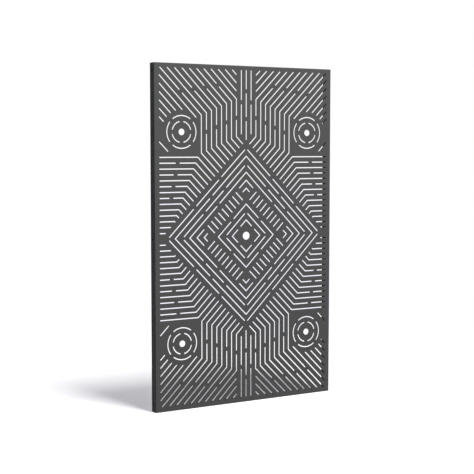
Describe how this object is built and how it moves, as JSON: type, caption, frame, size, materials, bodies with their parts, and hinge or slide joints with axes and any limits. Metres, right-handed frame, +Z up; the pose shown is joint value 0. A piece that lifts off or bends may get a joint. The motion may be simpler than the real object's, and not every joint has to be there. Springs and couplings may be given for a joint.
{
  "type": "decorative steel panel",
  "caption": "Flat upright screen panel: a pierced steel face with straight, bent and ring slots on a shallow folded frame, for a partition, fence or wall.",
  "frame": {"origin": "middle of the panel's underside, where it stands", "axes": "+Z up the panel's height, +X to the right seen from the front, front face towards -Y"},
  "size_m": [0.9144, 0.0444, 1.524],
  "materials": {
    "powder_coat": "matte charcoal powder coat",
    "zinc_plate": "bright zinc plate"
  },
  "bodies": {
    "root": {"face_sheet": "powder_coat", "left_stile": "powder_coat", "right_stile": "powder_coat", "top_rail": "powder_coat", "bottom_rail": "powder_coat", "corner_bracket_bottom_left": "powder_coat", "corner_bracket_bottom_right": "powder_coat", "corner_bracket_top_left": "powder_coat", "corner_bracket_top_right": "powder_coat", "corner_rivets_bottom_left": "powder_coat", "corner_rivets_bottom_right": "powder_coat", "corner_rivets_top_left": "powder_coat", "corner_rivets_top_right": "powder_coat", "left_face_studs": "zinc_plate", "left_face_washers": "zinc_plate", "left_face_nuts": "zinc_plate", "right_face_studs": "zinc_plate", "right_face_washers": "zinc_plate", "right_face_nuts": "zinc_plate", "bottom_face_studs": "zinc_plate", "bottom_face_washers": "zinc_plate", "bottom_face_nuts": "zinc_plate", "top_face_studs": "zinc_plate", "top_face_washers": "zinc_plate", "top_face_nuts": "zinc_plate"}
  },
  "joints": []
}
